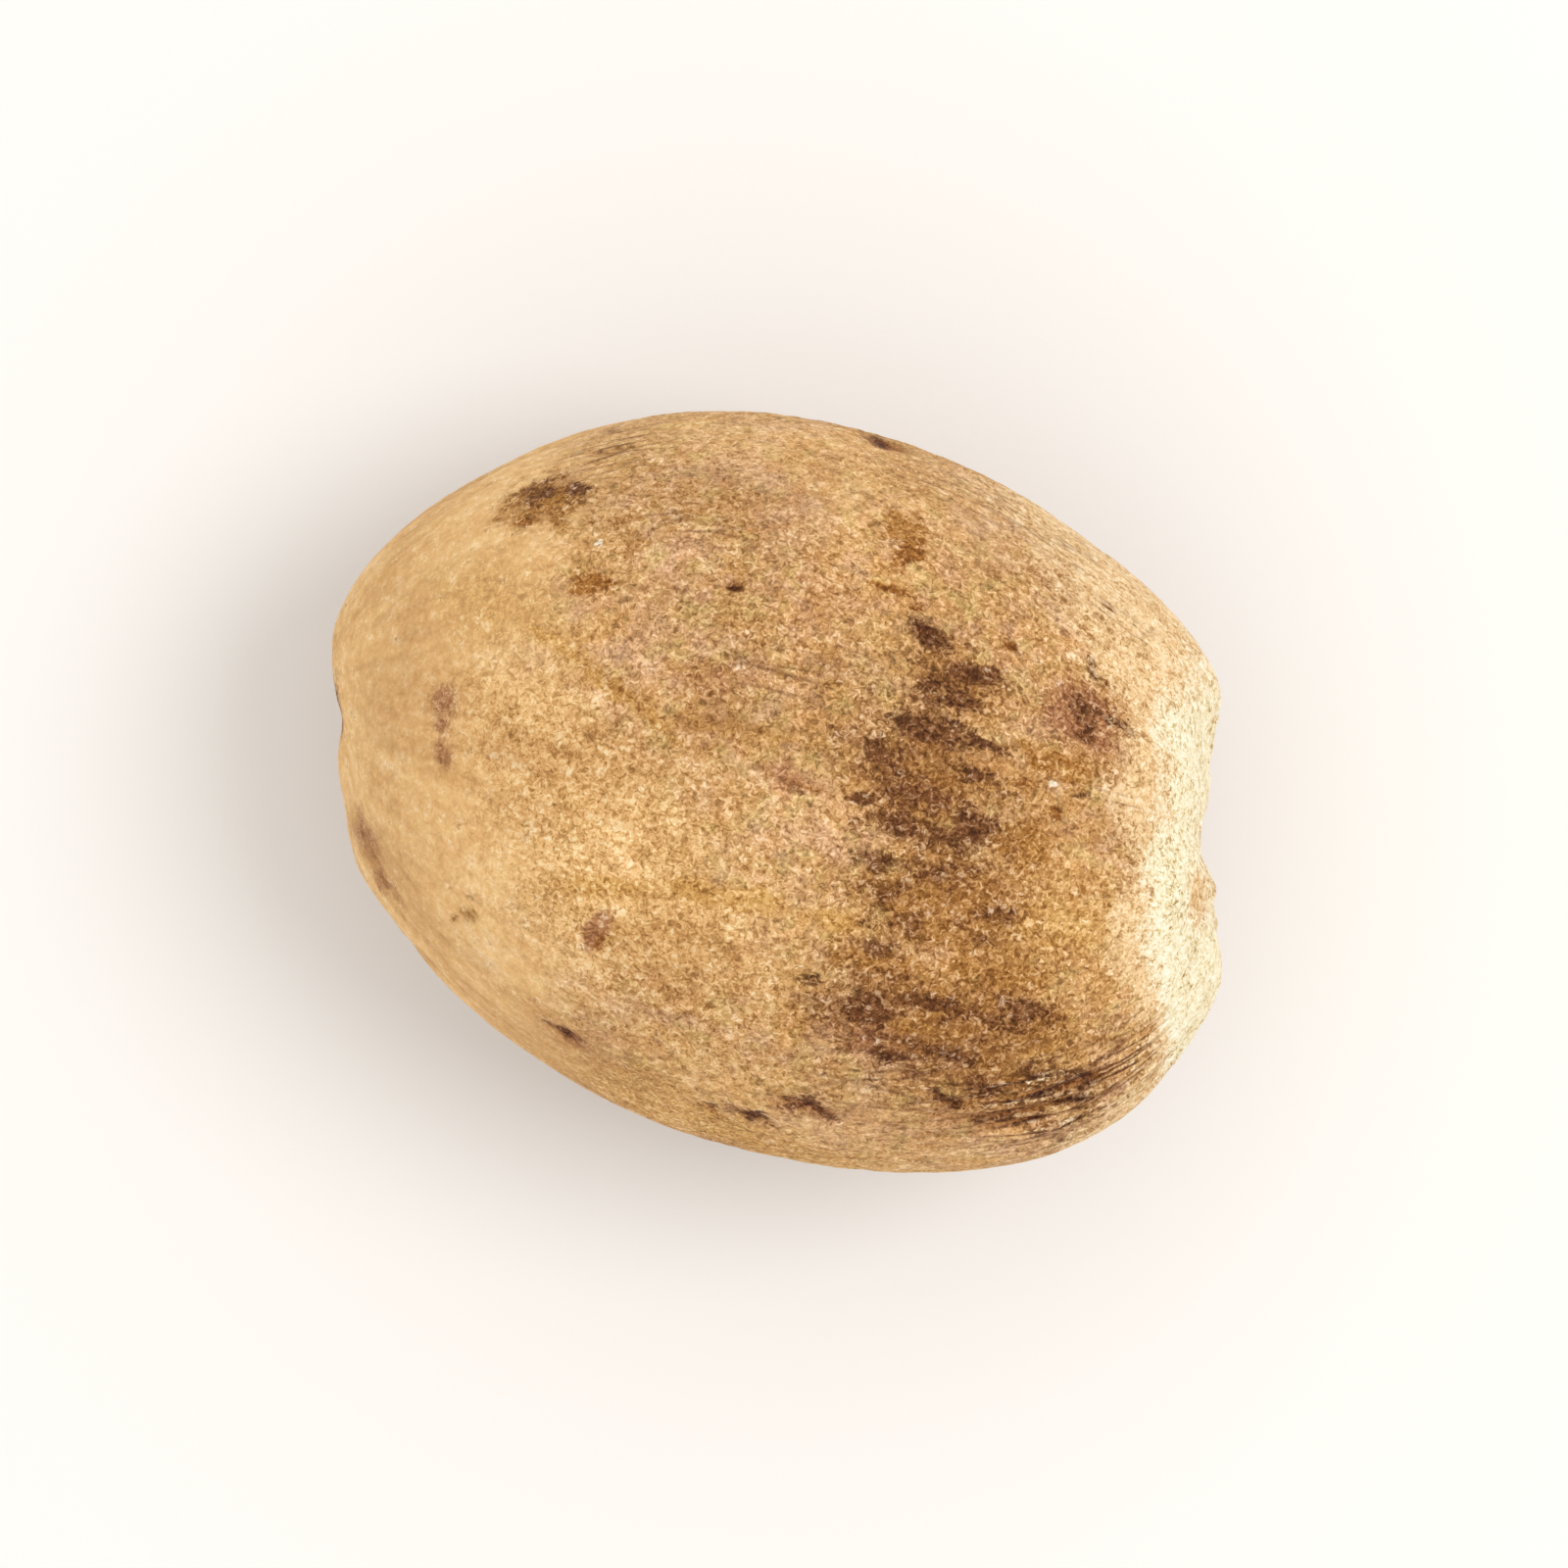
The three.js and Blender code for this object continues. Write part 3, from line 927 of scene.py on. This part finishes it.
def layStains(tree, noises, toned, color):
    # the layers over the tan, from the lowest up
    streaky = addNode(tree, "ShaderNodeAttribute", {}, attribute_name="streaky").outputs["Fac"]
    # streaks only where the coat is cracked or torn, and the noise's middle value elsewhere
    streak = addNode(
        tree, "ShaderNodeMix", {"Factor": streaky, "A": 0.5, "B": noises["streak"]}
    ).outputs["Result"]
    soft = addNode(
        tree, "ShaderNodeMix", {"Factor": 0.5, "A": noises["clump"], "B": noises["tone"]}
    ).outputs["Result"]
    drives = {"grain": toned, "soft": soft}
    breakers = (noises["clump"], noises["grain"], streak)
    for layer in skinFinish["layers"]:
        where = addNode(
            tree, "ShaderNodeAttribute", {}, attribute_name=layer["mask"]
        ).outputs["Fac"]
        for texture, share in zip(breakers, layer["break"]):
            # the mask plus share times the texture, whose middle is 0.5
            where = addNode(
                tree,
                "ShaderNodeMath",
                {0: texture, 1: share, 2: where},
                operation="MULTIPLY_ADD",
            ).outputs[0]
        lift = sum(layer["break"]) / 2
        mask = addNode(
            tree,
            "ShaderNodeMapRange",
            {
                "Value": where,
                "From Min": layer["edge"][0] + lift,
                "From Max": layer["edge"][1] + lift,
                "To Max": layer["cover"],
            },
            interpolation_type="SMOOTHSTEP",
        ).outputs["Result"]
        stops = list(zip(skinFinish["stops"], layer["colors"]))
        drive = {"Fac": drives[layer["drive"]]}
        shades = addNode(tree, "ShaderNodeValToRGB", drive, stops).outputs["Color"]
        color = addNode(
            tree, "ShaderNodeMix", {"Factor": mask, 6: color, 7: shades}, data_type="RGBA"
        ).outputs[2]
    return color


def layCracks(tree, along, clump):
    # how deep each point lies in one of the thin cracks along the fibres
    cracked = addNode(tree, "ShaderNodeAttribute", {}, attribute_name="cracked").outputs["Fac"]
    squeeze = (skinFinish["crackWidth"] / skinFinish["crackLength"], 1, 1)
    inCracks = addNode(
        tree, "ShaderNodeMapping", {"Vector": along, "Scale": squeeze}
    ).outputs["Vector"]
    toCrack = addNode(
        tree,
        "ShaderNodeTexVoronoi",
        {"Vector": inCracks, "Scale": 1 / skinFinish["crackWidth"], "Randomness": 1},
        feature="DISTANCE_TO_EDGE",
    ).outputs["Distance"]
    dark, clear = skinFinish["crackLine"]
    line = addNode(
        tree,
        "ShaderNodeMapRange",
        {"Value": toCrack, "From Min": dark, "From Max": clear, "To Min": 1, "To Max": 0},
    ).outputs["Result"]
    shut, whole = skinFinish["crackGaps"]
    gap = addNode(
        tree, "ShaderNodeMapRange", {"Value": clump, "From Min": shut, "From Max": whole}
    ).outputs["Result"]
    crack = addNode(tree, "ShaderNodeMath", {0: line, 1: cracked}, operation="MULTIPLY").outputs[0]
    return addNode(tree, "ShaderNodeMath", {0: crack, 1: gap}, operation="MULTIPLY").outputs[0]


def makeSkinFinish():
    # Air-dried nutmeg seed coat under its own dust: matt, sandy tan, with brown stains that
    # have soaked in between the grains.
    material = bpy.data.materials.new("dry nutmeg seed coat")
    material.use_nodes = True
    tree = material.node_tree
    tree.nodes.clear()

    place = addNode(tree, "ShaderNodeTexCoord", {}).outputs["Object"]
    inMm = addNode(
        tree, "ShaderNodeMapping", {"Vector": place, "Scale": [1 / mm] * 3}
    ).outputs["Vector"]
    along = addNode(tree, "ShaderNodeAttribute", {}, attribute_name="fibrePlace").outputs["Vector"]
    noises = {}
    for name, kind in skinFinish["noises"].items():
        where = inMm
        if "length" in kind:
            squeeze = (kind["size"] / kind["length"], 1, 1)
            where = addNode(
                tree, "ShaderNodeMapping", {"Vector": along, "Scale": squeeze}
            ).outputs["Vector"]
        noises[name] = addNode(
            tree,
            "ShaderNodeTexNoise",
            {
                "Vector": where,
                "Scale": 1 / kind["size"],
                "Detail": kind["detail"],
                "Roughness": kind["roughness"],
                "Distortion": kind.get("curl", 0),
            },
        ).outputs["Fac"]

    sand = addNode(
        tree,
        "ShaderNodeMix",
        {"Factor": skinFinish["dashShare"], "A": noises["grain"], "B": noises["dashes"]},
    ).outputs["Result"]
    toned = toneGrains(tree, noises, sand)
    color = layTan(tree, along, toned)
    color = layStains(tree, noises, toned, color)
    crack = layCracks(tree, along, noises["clump"])
    # painted shade: hollows in the relief are darkened, for dirt and for the shade they would hold
    hollowDirtAndShade = addNode(tree, "ShaderNodeAttribute", {}, attribute_name="hollowDirtAndShade").outputs["Fac"]
    for factor, shade in ((crack, "crackShade"), (hollowDirtAndShade, "dirtAndShade")):
        color = addNode(
            tree,
            "ShaderNodeMix",
            {"Factor": factor, 6: color, 7: toLinear(skinFinish[shade])},
            data_type="RGBA",
            blend_type="MULTIPLY",
        ).outputs[2]

    height = addNode(
        tree, "ShaderNodeMath", {0: sand, 1: crack}, operation="SUBTRACT"
    ).outputs[0]
    bump = addNode(
        tree,
        "ShaderNodeBump",
        {
            "Height": height,
            "Strength": skinFinish["bump"],
            "Distance": skinFinish["grainRise"] * mm,
        },
    ).outputs["Normal"]
    shader = addNode(
        tree,
        "ShaderNodeBsdfPrincipled",
        {
            "Base Color": color,
            "Roughness": skinFinish["roughness"],
            "IOR": skinFinish["ior"],
            "Specular IOR Level": skinFinish["gloss"],
            "Normal": bump,
        },
    ).outputs["BSDF"]
    addNode(tree, "ShaderNodeOutputMaterial", {"Surface": shader})
    return material


skin.data.materials.clear()
skin.data.materials.append(makeSkinFinish())
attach(skin, "root")
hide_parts("nutmeg")
print("nutmeg: finished skin is on the frame")

studio = {
    "floorSize": 1.2,  # metres, as are the other sizes and distances but the sensor's
    "floorColor": "#f7f5f2",
    "floorRoughness": 0.9,
    "worldLight": 0.86,
    "worldColor": "#fffdfa",
    "keyPower": 1.15,
    "keySize": 0.3,
    "keyAway": 0.6,
    "keyHeight": 62,  # degrees above the floor
    "keyTurn": 30,  # degrees from +X towards +Y: the upper right of the view
    "cameraRoll": 22,  # degrees that the seed's long axis dips to the right in the view
    "cameraAway": 0.214,
    "viewWidth": 0.041,
    "nearest": 0.01,  # what is closer to the camera isn't drawn
    "sensorWidth": 36,  # mm, as the lens is
}


def makeStudio():
    bpy.ops.object.select_all(action="DESELECT")
    bpy.ops.mesh.primitive_plane_add(size=studio["floorSize"], location=(0, 0, 0))
    floor = bpy.context.object
    floor.name = "floor"
    matt = bpy.data.materials.new("matt white board")
    matt.use_nodes = True
    shader = matt.node_tree.nodes["Principled BSDF"]
    shader.inputs["Base Color"].default_value = toLinear(studio["floorColor"])
    shader.inputs["Roughness"].default_value = studio["floorRoughness"]
    floor.data.materials.append(matt)

    world = bpy.data.worlds.new("soft room")
    bpy.context.scene.world = world
    world.use_nodes = True
    sky = world.node_tree.nodes["Background"]
    sky.inputs["Color"].default_value = toLinear(studio["worldColor"])
    sky.inputs["Strength"].default_value = studio["worldLight"]

    height = math.radians(studio["keyHeight"])
    turn = math.radians(studio["keyTurn"])
    level = math.cos(height)
    toKey = Vector((level * math.cos(turn), level * math.sin(turn), math.sin(height)))
    bpy.ops.object.light_add(type="AREA", location=toKey * studio["keyAway"])
    key = bpy.context.object
    key.name = "window"
    key.data.shape = "DISK"
    key.data.size = studio["keySize"]
    key.data.energy = studio["keyPower"]
    key.rotation_euler = toKey.to_track_quat("Z", "Y").to_euler()

    low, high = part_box("nutmeg")
    middle = (low + high) / 2
    bpy.ops.object.camera_add(
        location=(middle.x, middle.y, middle.z + studio["cameraAway"]),
        rotation=(0, 0, math.radians(studio["cameraRoll"])),
    )
    camera = bpy.context.object
    camera.data.sensor_width = studio["sensorWidth"]
    camera.data.lens = studio["sensorWidth"] * studio["cameraAway"] / studio["viewWidth"]
    camera.data.clip_start = studio["nearest"]
    bpy.context.scene.camera = camera
    bpy.context.scene.view_settings.view_transform = "Standard"


makeStudio()
print("nutmeg: studio set")
